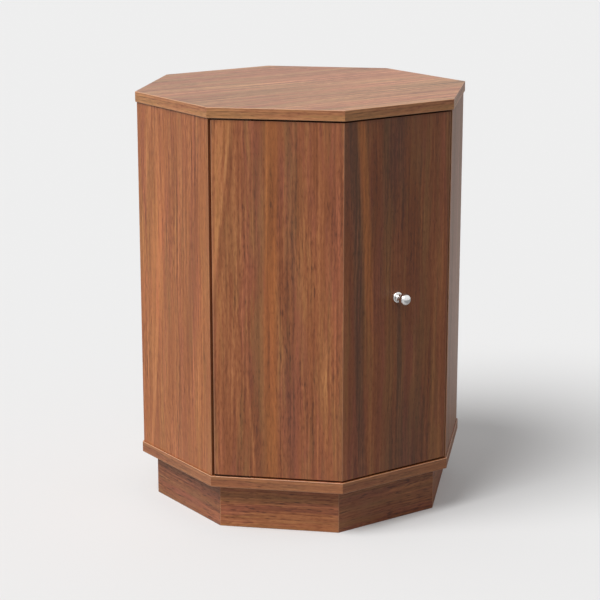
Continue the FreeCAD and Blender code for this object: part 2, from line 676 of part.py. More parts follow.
def catch(screw):
    turn = DOOR_SIDE * TURN
    flange = cuboid("catch_foot", "catch_length", "catch_depth", "catch_flange")
    seat(flange, turn, "catch_offset - catch_length / 2", CATCH_FRONT, f"{TOP_UNDER} - catch_flange")
    block = cuboid("catch_body", "catch_block", "catch_depth", "catch_height")
    seat(block, turn, "catch_offset - catch_block / 2", CATCH_FRONT, f"{TOP_UNDER} - catch_height")
    stack = "(magnet_thickness / 2 + pole_thickness)"
    well = cuboid(
        "catch_well",
        "magnet_length + 2 * hole_clearance",
        "magnet_depth + hole_clearance + overrun",
        f"2 * ({stack} + hole_clearance)",
    )
    edge = "catch_offset - magnet_length / 2"
    well_low = f"{CATCH_LEVEL} - {stack} - hole_clearance"
    seat(well, turn, f"{edge} - hole_clearance", f"{CATCH_FRONT} + overrun", well_low)
    under = f"{TOP_UNDER} - catch_flange"
    out = f"{CATCH_FRONT} - catch_depth / 2"
    margin = "2 * hole_clearance"
    ears = []
    for number, along in enumerate(CATCH_EARS, 1):
        bore = cylinder(
            f"catch_bore_{number}", f"catch_screw_diameter + {margin}", "catch_flange + 2 * overrun"
        )
        ears.append(seat(bore, turn, along, out, f"{under} - overrun"))
    node(cut_from("catch_housing", joined("catch_shape", flange, block), well, *ears), "catch_housing")
    magnet = cuboid("magnet_block", "magnet_length", "magnet_depth", "magnet_thickness")
    node(seat(magnet, turn, edge, CATCH_FRONT, f"{CATCH_LEVEL} - magnet_thickness / 2"), "catch_magnet")
    pole_levels = {"lower": f"{CATCH_LEVEL} - {stack}", "upper": f"{CATCH_LEVEL} + magnet_thickness / 2"}
    poles = []
    for name, low in pole_levels.items():
        pole = cuboid(f"{name}_pole", "magnet_length", "magnet_depth", "pole_thickness")
        poles.append(seat(pole, turn, edge, CATCH_FRONT, low))
    grouped("catch_pole_plates", poles)
    ear_screw = pan_screw("catch_screw", "catch_screw_length")
    copies("catch_screws", ear_screw, [(turn, along, out, under) for along in CATCH_EARS])
    plate = cuboid("strike_blank", "strike_length", "strike_thickness", "strike_height")
    seat(plate, turn, "catch_offset - strike_length / 2", INNER, f"{CATCH_LEVEL} - strike_height / 2")
    face = (turn, "catch_offset", f"{INNER} - strike_thickness", CATCH_LEVEL, "outwards")
    bore_width = f"hinge_screw_diameter + {margin}"
    sink = cone("strike_sink", f"hinge_screw_head + {margin}", bore_width, HINGE_HEAD_DEPTH)
    bore = cylinder("strike_bore", bore_width, "strike_thickness + overrun")
    node(cut_from("strike_plate", plate, seat(sink, *face), seat(bore, *face)), "strike_plate")
    copies("strike_screw", screw, [face])


def knob():
    turn = DOOR_SIDE * TURN
    middle = "(knob_projection - knob_head_diameter / 2)"
    foot_top = "knob_base_diameter - knob_base_taper"
    neck_length = f"{middle} - knob_base_thickness"
    neck = cone("knob_neck", "knob_flare_diameter", "knob_neck_diameter", neck_length)
    head = bind(doc.addObject("Part::Sphere", "knob_ball"), Radius="knob_head_diameter / 2")
    turned_shape = joined(
        "knob_shape",
        cone("knob_foot", "knob_base_diameter", foot_top, "knob_base_thickness"),
        raised(neck, "knob_base_thickness"),
        raised(head, middle),
    )
    bore = cylinder(
        "knob_bore", "knob_screw_diameter + 2 * hole_clearance", "knob_bore_depth + end_clearance + overrun"
    )
    pattern = cut_from("knob_pattern", turned_shape, raised(bore, "-overrun"))
    copies("door_knob", pattern, [(turn, "0", BODY, KNOB_LEVEL, "outwards")])
    screw = pan_screw("knob_screw", "panel_thickness + knob_bore_depth")
    copies("knob_screw", screw, [(turn, "0", INNER, KNOB_LEVEL, "outwards")])


top_board()
deck_board()
for wall in WALLS:
    fixed_wall(wall)
door_boards()
corner_splines()
wall_fittings()
plinth()
catch(hinges())
knob()
doc.recompute()

failed = [thing.Label for thing in doc.Objects if {"Invalid", "Error"} & set(thing.State)]
failed += [thing.Label for thing in NODES if thing.Shape.isNull() or not thing.Shape.isValid()]
if failed:
    raise RuntimeError("These failed: " + ", ".join(failed))
os.makedirs("parts", exist_ok=True)
for thing in NODES:
    thing.Shape.exportStep(f"parts/{thing.Label}.step")
    print(thing.Label, len(thing.Shape.Solids), "solids", round(thing.Shape.Volume / 1000, 2), "cm3")
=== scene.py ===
# %% [markdown]
# An eight-sided side table with a door, dressed for its picture.
# The cupboard is veneered board: six fixed walls and a two-board door stand between a top and a deck,
# and a recessed plinth carries them. The construction arrives as a fixed frame with its real sizes,
# so this lesson makes what finishes it: eased edges, a turned knob, moulded washers, veneer and metal,
# light and a camera.

# %% Load the frame
import bpy
import numpy as np
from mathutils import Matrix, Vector

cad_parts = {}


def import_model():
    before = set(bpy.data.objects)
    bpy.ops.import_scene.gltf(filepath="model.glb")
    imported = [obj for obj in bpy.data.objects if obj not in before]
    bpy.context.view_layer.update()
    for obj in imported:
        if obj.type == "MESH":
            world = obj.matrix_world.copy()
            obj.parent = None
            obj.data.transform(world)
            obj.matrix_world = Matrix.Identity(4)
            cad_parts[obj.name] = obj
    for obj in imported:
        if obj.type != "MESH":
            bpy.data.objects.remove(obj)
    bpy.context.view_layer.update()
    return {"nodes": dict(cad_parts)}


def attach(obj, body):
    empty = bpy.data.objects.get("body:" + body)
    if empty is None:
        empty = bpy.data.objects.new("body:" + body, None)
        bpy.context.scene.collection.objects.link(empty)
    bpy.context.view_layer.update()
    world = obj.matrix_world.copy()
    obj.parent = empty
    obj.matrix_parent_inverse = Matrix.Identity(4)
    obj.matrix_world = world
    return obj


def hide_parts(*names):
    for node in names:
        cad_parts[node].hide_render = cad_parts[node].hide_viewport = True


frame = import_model()

# %% [markdown]
# Every upright board lies on one of eight facets, so it is easiest to think of a board as if it were at
# the front and to turn it into place afterwards. A facet has a direction along it, from the left hand to
# the right of someone who faces it, and a direction out of it. The boards' ends are read from the frame.

# %% Facets and the boards that lie on them
MM = 0.001
SIDES = 8
TURN = 2 * np.pi / SIDES
MITRE = TURN / 2
NEAR = 0.05 * MM
UP = np.array([0.0, 0.0, 1.0])
FACETS = ("front", "front_right", "right", "back_right", "back", "back_left", "left", "front_left")
DOOR_BOARDS = {"door_front_panel": FACETS.index("front"), "door_side_panel": FACETS.index("front_right")}
WALLS = {f"{name}_panel": FACETS.index(name) for name in FACETS[2:]}
PLINTH = {f"plinth_{name}": number for number, name in enumerate(FACETS)}


def facet_axes(facet):
    """Directions along and out of a facet: the front one's, turned by eighths about the upright axis."""
    turn = facet * TURN
    return np.array([np.cos(turn), np.sin(turn), 0.0]), np.array([np.sin(turn), -np.cos(turn), 0.0])


def node_points(node):
    """A node's vertices, one row each."""
    mesh = frame["nodes"][node].data
    points = np.empty(len(mesh.vertices) * 3)
    mesh.vertices.foreach_get("co", points)
    return points.reshape(-1, 3)


def on_facet(node, facet):
    """A node's vertices as three columns: along its facet, out from the middle, and up."""
    along, out = facet_axes(facet)
    return node_points(node) @ np.stack([along, out, UP], 1)


def board_limits(node, facet):
    """Where a mitred board starts and stops: at its outer and its inner face, and in height."""
    points = on_facet(node, facet)
    low, high = points.min(0), points.max(0)
    faces = {}
    for face, out in (("outer", high[1]), ("inner", low[1])):
        ends = points[np.abs(points[:, 1] - out) < NEAR, 0]
        faces[face] = (out, ends.min(), ends.max())
    return {**faces, "low": low[2], "high": high[2]}


for node, facet in DOOR_BOARDS.items():
    print(node, board_limits(node, facet))

# %% [markdown]
# A veneered edge is never knife sharp: it is sanded over, and that fine round edge catches the light.
# A bevel modifier could do this, but the outline of a board is simple enough to write down: straight runs
# joined by small arcs. Where two boards meet in a closed mitre, each carries half of one round corner.
# An open end, at the door's two free edges, is eased all the way round to its end face.

# %% The outline of a board, seen from above
CORNER_RADIUS = 1.3 * MM
EASE = 0.45 * MM
HOLD = 0.35 * MM
ARC_POINTS = 6
OUTER_STEP = 1.6 * MM
INNER_STEP = 2 * OUTER_STEP


def arc(centre, radius, first, last):
    """Centre plus radius times (sine, cosine) of an angle that runs evenly from first to last."""
    angle = np.linspace(first, last, ARC_POINTS)
    return centre + radius * np.stack([np.sin(angle), np.cos(angle)], 1)


def right_end(outer, inner):
    """One end of a board as points (along, out), from its outer face round to its inner face.
    A closed mitre turns the outer face by half a corner, about a centre on the mitre's line.
    An open end has two arcs, each tangent to its two faces, a tangent's length from the sharp corner."""
    (out, reach), (back, stop) = outer, inner
    if abs(reach - out * np.tan(MITRE)) < NEAR:
        line = np.array([np.sin(MITRE), np.cos(MITRE)])
        centre = np.array([reach, out]) - line * CORNER_RADIUS / np.cos(MITRE)
        return np.concatenate([arc(centre, CORNER_RADIUS, 0, MITRE), [[stop, back]]])
    facing = np.arctan2(out - back, stop - reach)
    first = arc((reach - EASE * np.tan(facing / 2), out - EASE), EASE, 0, facing)
    second = arc((stop - EASE / np.tan(facing / 2), back + EASE), EASE, facing, np.pi)
    return np.concatenate([first, second])


def run(first, last, step):
    """Points between two places on a straight face, about a step apart, the outermost close to its ends."""
    span = np.linalg.norm(last - first)
    inside = np.linspace(HOLD, span - HOLD, max(2, int(span / step)))
    return first + inside[:, None] / span * (last - first)


def board_outline(limits):
    """The closed outline: outer face, right end, inner face and left end, which is a mirrored right end."""
    (out, left, right), (back, left_back, right_back) = limits["outer"], limits["inner"]
    after = right_end((out, right), (back, right_back))
    before = right_end((out, -left), (back, -left_back))[::-1] * (-1, 1)
    outer_face = run(before[-1], after[0], OUTER_STEP)
    inner_face = run(after[-1], before[0], INNER_STEP)
    return np.concatenate([outer_face, after, inner_face, before])


back_wall = board_limits("back_panel", WALLS["back_panel"])
print("outline points of the back wall", len(board_outline(back_wall)))

# %% [markdown]
# The board itself is that outline carried up a path. At both ends of the path the outline draws in by the
# same small easing, along its own normals. An extrude and a bevel would give the same form, but as one
# grid of levels by outline points, with a flat face at each end, every point keeps its place in the plan.

# %% The outline carried up
LEVEL_STEP = 12 * MM
SHARP_ANGLE = np.radians(35)


def board_levels(low, high):
    """Heights of the grid's rows, and how far each row is drawn in: a quarter circle at each end."""
    angle = np.linspace(0, np.pi / 2, ARC_POINTS)
    lift, draw = EASE * (1 - np.cos(angle)), EASE * (1 - np.sin(angle))
    middle = np.linspace(low + EASE + HOLD, high - EASE - HOLD, int((high - low) / LEVEL_STEP))
    heights = np.concatenate([low + lift, middle, high - lift[::-1]])
    return heights, np.concatenate([draw, np.zeros(len(middle)), draw[::-1]])


def outline_normals(outline):
    """Outward directions: the line between a point's two neighbours, turned square and of length one."""
    heading = np.roll(outline, -1, 0) - np.roll(outline, 1, 0)
    return np.stack([-heading[:, 1], heading[:, 0]], 1) / np.linalg.norm(heading, axis=1)[:, None]


def grid_faces(rows, columns):
    """Corner numbers of the quads of a grid that closes on itself from its last column to its first."""
    row, column = np.meshgrid(np.arange(rows - 1), np.arange(columns), indexing="ij")
    after = (column + 1) % columns
    below, above = row * columns, (row + 1) * columns
    return np.stack([below + column, below + after, above + after, above + column], -1).reshape(-1, 4)


def carried_up(plan, heights, facet):
    """Point = the facet's along and out directions times the drawn-in outline, plus height.
    The faces are the grid's quads and one flat face at each end."""
    along, out = facet_axes(facet)
    points = plan[..., :1] * along + plan[..., 1:] * out + heights[:, None, None] * UP
    rows, columns = plan.shape[:2]
    last = (rows - 1) * columns
    ends = [list(range(columns))[::-1], list(range(last, last + columns))]
    return points.reshape(-1, 3), grid_faces(rows, columns).tolist() + ends


def finished_mesh(name, points, faces):
    """A mesh object of these points and faces, smooth but for its sharp corners."""
    mesh = bpy.data.meshes.new(name)
    mesh.from_pydata(points.tolist(), [], faces)
    mesh.shade_smooth()
    mesh.set_sharp_from_angle(angle=SHARP_ANGLE)
    piece = bpy.data.objects.new(name, mesh)
    bpy.context.scene.collection.objects.link(piece)
    return piece


print("levels of the back wall", len(board_levels(back_wall["low"], back_wall["high"])[0]))

# %% [markdown]
# A sheet of veneer has a direction, and a board is cut with the grain standing or lying. Unwrapping the
# mesh could give that, but the grid already knows the way, so each corner of each face gets a place on the
# sheet in metres, along and across the grain, and that place goes into a UV map. Other looks, such as
# bands, painted light and shade, and edges painted paler as a highlight with some wear, are kept as one
# value at each point.

# %% Grain and looks, recorded on the grid
VENEER_PITCH = 0.53


def grid_places(up, round_it):
    """Height and distance round the outline at each quad's corners, with no jump at the seam."""
    row, column = np.meshgrid(np.arange(len(up) - 1), np.arange(len(round_it) - 1), indexing="ij")
    high = np.stack([up[row], up[row], up[row + 1], up[row + 1]], -1)
    near, far = round_it[column], round_it[column + 1]
    return high.reshape(-1), np.stack([near, far, far, near], -1).reshape(-1)


def lay_grain(piece, outline, heights, number, upright):
    """Place on the sheet = height and distance round the outline, in the order that the grain asks for.
    On the flat ends it is the outline itself. Each board has its own strip, a pitch further across."""
    lengths = np.linalg.norm(np.roll(outline, -1, 0) - outline, axis=1)
    high, far = grid_places(heights, np.concatenate([[0], np.cumsum(lengths)]))
    along, across = (high, far) if upright else (far, high)
    ends = np.concatenate([outline[::-1], outline])
    places = np.stack([
        np.concatenate([along, ends[:, 0]]),
        np.concatenate([across, ends[:, 1]]) + number * VENEER_PITCH,
    ], 1)
    grain = piece.data.uv_layers.new(name="grain")
    grain.uv.foreach_set("vector", places.astype(np.float32).ravel())


def record(piece, **looks):
    """Keeps each look as one value at each point, for a material to read by its name."""
    for label, values in looks.items():
        made = piece.data.attributes.new(label, "FLOAT", "POINT")
        made.data.foreach_set("value", values.astype(np.float32).ravel())


print("one board's strip of the sheet", VENEER_PITCH, "m")

# %% [markdown]
# Sliced veneer shows long bands, lighter sapwood streaks and dark heartwood lines, which lean and waver
# along the sheet. Noise alone puts them anywhere. The boards that face the viewer have bands that one
# would remember, so these are listed as shares of the board, and the noise in the finish adds the
# rest. The other boards draw theirs from a seeded generator.

# %% Bands in the veneer
WAVER_SHARE = 0.006
WAVER_TURNS = 1.4
WAVER_SPREAD = 7
BELL_POWER = 6
WINDOW_SOFTNESS = 0.05
DRAWN_BANDS = 7
DRAWN_LEAN = 0.06
DRAWN_RANGES = {
    "half width": (0.015, 0.09),
    "strength": (-0.7, 0.7),
    "start": (-0.3, 0.4),
    "stop": (0.6, 1.3),
    "warmth": (-0.4, 0.5),
}
STREAKS = {
    # each: place across the board at its bottom and at its top, half width, strength,
    # start and stop in height, warmth
    "front_left_panel": [
        (0.13, 0.42, 0.022, 0.90, -0.10, 0.80, 0.1),
        (0.15, 0.36, 0.100, 0.70, 0.30, 0.90, 0.2),
        (-0.23, 0.20, 0.025, 0.55, 0.60, 1.10, 0.0),
        (0.06, 0.06, 0.035, 0.40, -0.10, 0.62, 0.2),
        (0.84, 0.95, 0.045, 0.12, -0.10, 1.10, 0.2),
        (0.63, 0.86, 0.055, -0.50, 0.15, 0.95, 0.0),
        (0.33, 0.50, 0.050, -0.10, 0.35, 0.80, -0.1),
        (0.50, 0.50, 0.700, 0.00, -0.20, 1.20, 0.25),
    ],
    "door_front_panel": [
        (-0.205, 0.095, 0.060, 1.00, 0.50, 1.10, 0.2),
        (-0.157, 0.143, 0.012, 0.90, 0.50, 1.00, 0.0),
        (-0.120, 0.180, 0.022, -0.45, 0.50, 1.00, 0.0),
        (0.05, 0.05, 0.020, 0.45, -0.10, 0.55, 0.2),
        (0.21, 0.12, 0.012, 0.60, 0.22, 0.52, 0.0),
        (0.315, 0.135, 0.010, 0.90, -0.10, 0.30, 0.0),
        (0.445, 0.455, 0.052, 0.40, -0.10, 1.10, 0.75),
        (0.43, 0.43, 0.008, -0.60, 0.15, 0.85, 0.0),
        (0.515, 0.515, 0.008, -0.60, 0.25, 0.90, 0.0),
        (0.345, 0.345, 0.026, -0.32, -0.10, 0.85, -0.1),
        (0.09, 0.09, 0.100, 0.18, -0.20, 1.20, 0.0),
        (0.72, 0.72, 0.090, -0.15, 0.10, 1.10, 0.0),
        (0.585, 0.605, 0.045, -0.55, -0.10, 1.10, -0.1),
        (0.80, 0.80, 0.012, -0.40, 0.78, 1.10, 0.2),
        (0.775, 0.775, 0.010, -0.50, -0.10, 0.45, 0.0),
        (0.95, 0.95, 0.012, -0.30, 0.10, 0.70, 0.2),
        (0.37, 0.37, 0.040, -0.45, 0.82, 1.10, 0.0),
        (0.31, 0.31, 0.045, -0.30, 0.25, 0.62, 0.0),
        (0.22, 0.22, 0.160, -0.30, -0.20, 0.25, 0.0),
        (0.50, 0.50, 0.700, -0.25, -0.20, 0.30, 0.0),
        (0.84, 0.84, 0.150, 0.20, -0.10, 0.70, 0.1),
    ],
    "door_side_panel": [
        (0.185, 0.085, 0.040, -0.80, -0.10, 1.10, -0.4),
        (0.32, 0.16, 0.038, 1.25, 0.42, 1.10, 0.7),
        (0.24, 0.24, 0.050, 0.45, -0.10, 0.45, 0.1),
        (0.02, 0.02, 0.030, 0.50, -0.10, 0.66, 0.1),
        (0.03, 0.03, 0.045, -0.60, 0.74, 1.10, -0.3),
        (0.50, 0.47, 0.130, -0.80, 0.72, 1.10, -0.2),
        (0.66, 0.66, 0.060, -0.40, 0.58, 0.88, 0.3),
        (0.90, 0.90, 0.060, 0.55, 0.40, 0.65, 0.2),
        (0.54, 0.50, 0.022, -1.20, 0.22, 0.45, -0.6),
        (0.95, 0.93, 0.030, 0.40, -0.10, 1.10, 0.1),
        (0.60, 0.60, 0.220, -0.65, -0.20, 0.18, -0.3),
        (0.86, 0.90, 0.012, 0.50, 0.15, 0.50, 0.0),
        (0.36, 0.36, 0.060, 0.15, 0.15, 0.45, 0.0),
    ],
    "right_panel": [
        # the first, wide row greys the whole board and lightens it a little: a painted reflection of the
        # pale studio
        (0.50, 0.50, 0.700, 0.08, -0.20, 1.20, -0.6),
        (0.22, 0.26, 0.100, -0.45, -0.20, 1.20, 0.0),
        (0.70, 0.64, 0.050, 0.35, 0.10, 1.10, 0.0),
        (0.86, 0.90, 0.040, 0.30, -0.10, 0.70, 0.0),
    ],
}


def drawn_streaks(seed):
    """Bands with seeded places, widths, strengths and warmth, alike in kind to those placed by hand."""
    draw = np.random.default_rng(seed)
    bottom = draw.uniform(0, 1, DRAWN_BANDS)
    top = bottom + draw.normal(0, DRAWN_LEAN, DRAWN_BANDS)
    rest = [draw.uniform(*ends, DRAWN_BANDS) for ends in DRAWN_RANGES.values()]
    return np.stack([bottom, top, *rest], 1)


def figure(across, up, streaks):
    """Sums over the bands, of strength and of warmth, times a bell across the board and a soft window in
    height. The bell's middle leans from its place at the bottom to that at the top, and wavers as a sine."""
    low, high, width, strength, start, stop, warmth = np.array(streaks).T[:, :, None, None]
    waver = WAVER_SHARE * np.sin(2 * np.pi * (WAVER_TURNS * up + WAVER_SPREAD * low))
    middle = low + (high - low) * up + waver
    bell = np.exp(-(((across - middle) / width) ** BELL_POWER))
    begun = 1 / (1 + np.exp(-(up - start) / WINDOW_SOFTNESS))
    ended = 1 / (1 + np.exp(-(stop - up) / WINDOW_SOFTNESS))
    band = bell * begun * ended
    return (strength * band).sum(0), (warmth * band).sum(0)


print("bands placed by hand", {name: len(rows) for name, rows in STREAKS.items()})

# %% [markdown]
# Now the uprights are made: walls and door boards with the grain standing, and the plinth with the grain
# lying. Some boards are painted lighter or darker, as painted light and shade for how their facet is lit.
# The open ends that line the door's gaps are painted dark, as painted shade in those gaps, and the eased
# edges are painted a little paler, a painted highlight with some rubbed wear. Each piece rides on the body
# that carries the board that it replaces.

# %% Walls, door and plinth
ROUNDED = 0.02
# painted shade: the open end faces inside the door's gaps are made much darker
END_SHADE = -3.0
# painted highlight with some rubbed wear: how much paler the eased edges of the uprights are
UPRIGHT_WEAR = 0.3
# painted light and shade: each listed board lighter or darker for how light falls on its facet
BOARD_SHADES = {
    "front_left_panel": 0.36,
    "door_front_panel": -0.08,
    "door_side_panel": -0.60,
    "plinth_front": 0.22,
    "plinth_front_left": -0.70,
    "plinth_front_right": -0.45,
}
PLINTH_STREAKS = (1, 1, 1, 0.2, 1, 1, 0.3)  # the plinth's bands are weaker, and less warm or cool


def board(name, node, facet, number, upright, streaks):
    """One board: its outline, drawn in at both ends, carried up its levels. Figure = the bands' lightness at
    each point's share across and up, plus the board's painted light or shade and the painted shade on its
    open ends. The edges are painted paler, a painted highlight with some wear, where the outline bends or
    draws in."""
    limits = board_limits(node, facet)
    outline = board_outline(limits)
    normal = outline_normals(outline)
    heights, draw = board_levels(limits["low"], limits["high"])
    plan = outline[None] - draw[:, None, None] * normal[None]
    piece = finished_mesh(name, *carried_up(plan, heights, facet))
    lay_grain(piece, outline, heights, number, upright)

    across = (plan[..., 0] - plan[..., 0].min()) / np.ptp(plan[..., 0])
    up = ((heights - heights[0]) / np.ptp(heights))[:, None] * np.ones((1, len(outline)))
    tone, warmth = figure(across, up, streaks)
    cut = (outline[:, 1] < limits["outer"][0] - 2 * EASE) & (outline[:, 1] > limits["inner"][0] + NEAR)
    # painted light or shade for the board's facet, and painted shade on the open ends in the door's gaps
    tone = tone + BOARD_SHADES.get(node, 0.0) + END_SHADE * cut
    before, after = np.roll(normal, 1, 0), np.roll(normal, -1, 0)
    bend = np.abs(after[:, 0] * before[:, 1] - after[:, 1] * before[:, 0]) > ROUNDED
    # paler where the outline bends or draws in: a painted highlight with some wear
    worn = UPRIGHT_WEAR * np.maximum(bend[None], draw[:, None] / EASE)
    record(piece, figure=tone, warmth=warmth, worn=worn)
    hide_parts(node)
    return piece


boards = {}
for number, (node, facet) in enumerate({**WALLS, **DOOR_BOARDS}.items()):
    streaks = STREAKS.get(node, drawn_streaks(number))
    boards[node] = board(f"{node}_veneered", node, facet, number, True, streaks)
    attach(boards[node], "door" if node in DOOR_BOARDS else "cabinet")
for number, (node, facet) in enumerate(PLINTH.items(), len(boards)):
    streaks = drawn_streaks(number) * PLINTH_STREAKS
    boards[node] = board(f"{node}_veneered", node, facet, number, False, streaks)
    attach(boards[node], "cabinet")
print(len(boards), "boards,", sum(len(piece.data.polygons) for piece in boards.values()), "faces")

# %% [markdown]
# The knob is turned from bar and chromed: a thin foot against the door, a neck that narrows in a hollow
# curve, and a ball for the fingers. A turned piece is a profile swept round an axis, so the whole knob is
# one grid of angles by profile points, with a single point at each pole.

# %% The turned knob
KNOB_AROUND = 96
DOME_POINTS, NECK_POINTS, BALL_POINTS = 18, 16, 40
FOOT_RIM = 0.8 * MM
FOOT_THICKNESS = 3.6 * MM
FLARE_RADIUS = 5.0 * MM
NECK_RADIUS = 3.4 * MM
NECK_HOLLOW = 1.5


def knob_profile(foot, head, length):
    """Radius against distance from the door. The foot has a low rim and a dome, a quarter of an ellipse.
    The neck falls from the flare to its narrowest as a power of one less a sine, and meets the ball, which
    is part of a circle."""
    turn = np.linspace(0, np.pi / 2, DOME_POINTS)[:-1]
    dome = np.stack([
        FLARE_RADIUS + (foot - FLARE_RADIUS) * np.cos(turn),
        FOOT_RIM + (FOOT_THICKNESS - FOOT_RIM) * np.sin(turn),
    ], 1)
    middle = length - head
    meet = np.pi - np.arcsin(NECK_RADIUS / head)
    neck_end = middle + head * np.cos(meet)
    share = np.linspace(0, 1, NECK_POINTS)
    hollow = (1 - np.sin(share * np.pi / 2)) ** NECK_HOLLOW
    neck = np.stack([
        NECK_RADIUS + (FLARE_RADIUS - NECK_RADIUS) * hollow,
        FOOT_THICKNESS + share * (neck_end - FOOT_THICKNESS),
    ], 1)
    swing = np.linspace(meet, 0, BALL_POINTS)[1:-1]
    ball = np.stack([head * np.sin(swing), middle + head * np.cos(swing)], 1)
    return np.concatenate([[[foot, 0.0]], dome, neck, ball])


def turned_knob(node, facet):
    """Point = seat + radius times (cosine along the facet + sine upwards) + distance out of the facet."""
    points = on_facet(node, facet)
    low, high = points.min(0), points.max(0)
    middle = (low + high) / 2
    length = high[1] - low[1]
    along, out = facet_axes(facet)
    seat = middle[0] * along + low[1] * out + middle[2] * UP
    foot_points = points[points[:, 1] < low[1] + NEAR]
    profile = knob_profile(np.ptp(foot_points[:, 2]) / 2, np.ptp(points[:, 2]) / 2, length)
    angle = np.linspace(0, 2 * np.pi, KNOB_AROUND, endpoint=False)
    ring = np.cos(angle)[:, None] * along + np.sin(angle)[:, None] * UP
    body = seat + profile[:, :1, None] * ring[None] + profile[:, 1:, None] * out

    rows, columns = body.shape[:2]
    poles = np.stack([seat, seat + length * out])
    first = np.arange(columns)
    after = (first + 1) % columns
    last = (rows - 1) * columns
    back = np.stack([np.full(columns, rows * columns), after, first], 1)
    front = np.stack([last + first, last + after, np.full(columns, rows * columns + 1)], 1)
    faces = grid_faces(rows, columns).tolist() + back.tolist() + front.tolist()
    piece = finished_mesh("knob_turned", np.concatenate([body.reshape(-1, 3), poles]), faces)
    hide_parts(node)
    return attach(piece, "door")


knob = turned_knob("door_knob", DOOR_BOARDS["door_side_panel"])
print("knob faces", len(knob.data.polygons))

# %% [markdown]
# A small nylon washer lies between each hinge leaf and its plate, so that the door turns without scraping.
# It is moulded, so its edges are soft, and it has a little play, so it never binds. A ring with a squarish
# section is a superellipse carried round the pin: one grid that closes on itself both ways.

# %% The hinge washers
WASHER_PLAY = 0.03 * MM
WASHER_SQUARENESS = 0.3
WASHER_AROUND, WASHER_SECTION = 48, 24


def squarish(wave):
    """A sine or cosine with its size raised to a power below one, which fills out a circle's corners."""
    return np.sign(wave) * np.abs(wave) ** WASHER_SQUARENESS


def moulded_washer(node):
    """Point = the pin's middle + radius outwards + height. The radius is the ring's mean plus half its width
    times a squarish cosine. The height is half the thickness, less the play, times a squarish sine."""
    points = node_points(node)
    low, high = points.min(0), points.max(0)
    middle = (low + high) / 2
    outer = (high[0] - low[0]) / 2
    inner = np.linalg.norm(points[:, :2] - middle[:2], axis=1).min()
    section = np.linspace(0, 2 * np.pi, WASHER_SECTION, endpoint=False)[:, None]
    angle = np.linspace(0, 2 * np.pi, WASHER_AROUND, endpoint=False)[None]
    radius = (outer + inner) / 2 + (outer - inner) / 2 * squarish(np.cos(section))
    rise = ((high[2] - low[2]) / 2 - WASHER_PLAY) * squarish(np.sin(section)) * np.ones_like(angle)
    ring = middle + np.stack([radius * np.cos(angle), radius * np.sin(angle), rise], -1)
    faces = grid_faces(WASHER_SECTION + 1, WASHER_AROUND) % (WASHER_SECTION * WASHER_AROUND)
    piece = finished_mesh(f"{node}_moulded", ring.reshape(-1, 3), faces.tolist())
    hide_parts(node)
    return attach(piece, "cabinet")


washers = [moulded_washer(node) for node in ("top_hinge_washer", "bottom_hinge_washer")]
print("washers", [piece.name for piece in washers])

# %% [markdown]
# Finishes come next. A material is a small graph of nodes, and writing such graphs by hand gets long, so
# helpers add a node with its inputs filled in or linked, and name the steps that return often. The main one
# for wood is noise drawn out along the grain, as fibres are.

# %% Helpers for node graphs
NOISE_DETAIL, NOISE_ROUGHNESS = 2.0, 0.5


def add(tree, kind, inputs=(), **settings):
    """A node with its settings, its inputs set to values or linked to other nodes' outputs."""
    node = tree.nodes.new(kind)
    for name, value in settings.items():
        setattr(node, name, value)
    for key, value in dict(inputs).items():
        if isinstance(value, bpy.types.NodeSocket):
            tree.links.new(value, node.inputs[key])
        else:
            node.inputs[key].default_value = value
    return node


def maths(tree, operation, first, second=0.0, third=0.0):
    """One step of arithmetic on values."""
    return add(tree, "ShaderNodeMath", {0: first, 1: second, 2: third}, operation=operation).outputs[0]


def vectors(tree, operation, first, second=(0, 0, 0)):
    """One step of arithmetic on places or directions."""
    node = add(tree, "ShaderNodeVectorMath", {0: first, 1: second}, operation=operation)
    return node.outputs["Value" if operation == "DOT_PRODUCT" else "Vector"]


def remap(tree, value, span, ends=(0.0, 1.0), **settings):
    """A value carried from a span to the range between two ends, and held at the ends beyond it."""
    inputs = {"Value": value, 1: span[0], 2: span[1], 3: ends[0], 4: ends[1]}
    return add(tree, "ShaderNodeMapRange", inputs, **settings).outputs[0]


def stretched(tree, place, cells, detail=NOISE_DETAIL, roughness=NOISE_ROUGHNESS):
    """Noise drawn out along the grain: that many cells a metre along it and across it."""
    scaled = add(tree, "ShaderNodeMapping", {"Vector": place, "Scale": (*cells, 1.0)})
    inputs = {"Vector": scaled.outputs[0], "Scale": 1.0, "Detail": detail, "Roughness": roughness}
    return add(tree, "ShaderNodeTexNoise", inputs).outputs["Fac"]


print("plain noise has detail", NOISE_DETAIL, "and roughness", NOISE_ROUGHNESS)

# %% [markdown]
# Walnut veneer. Its figure works at several scales: broad bands a few centimetres wide, streaks of some
# millimetres, fine fibre, and short dark flecks and pores. Each is noise that is stretched along the
# grain, with the place across the grain bent a little by slow noise, so that the lines wander as sliced
# wood does. The fibre is stronger in some patches than in others.

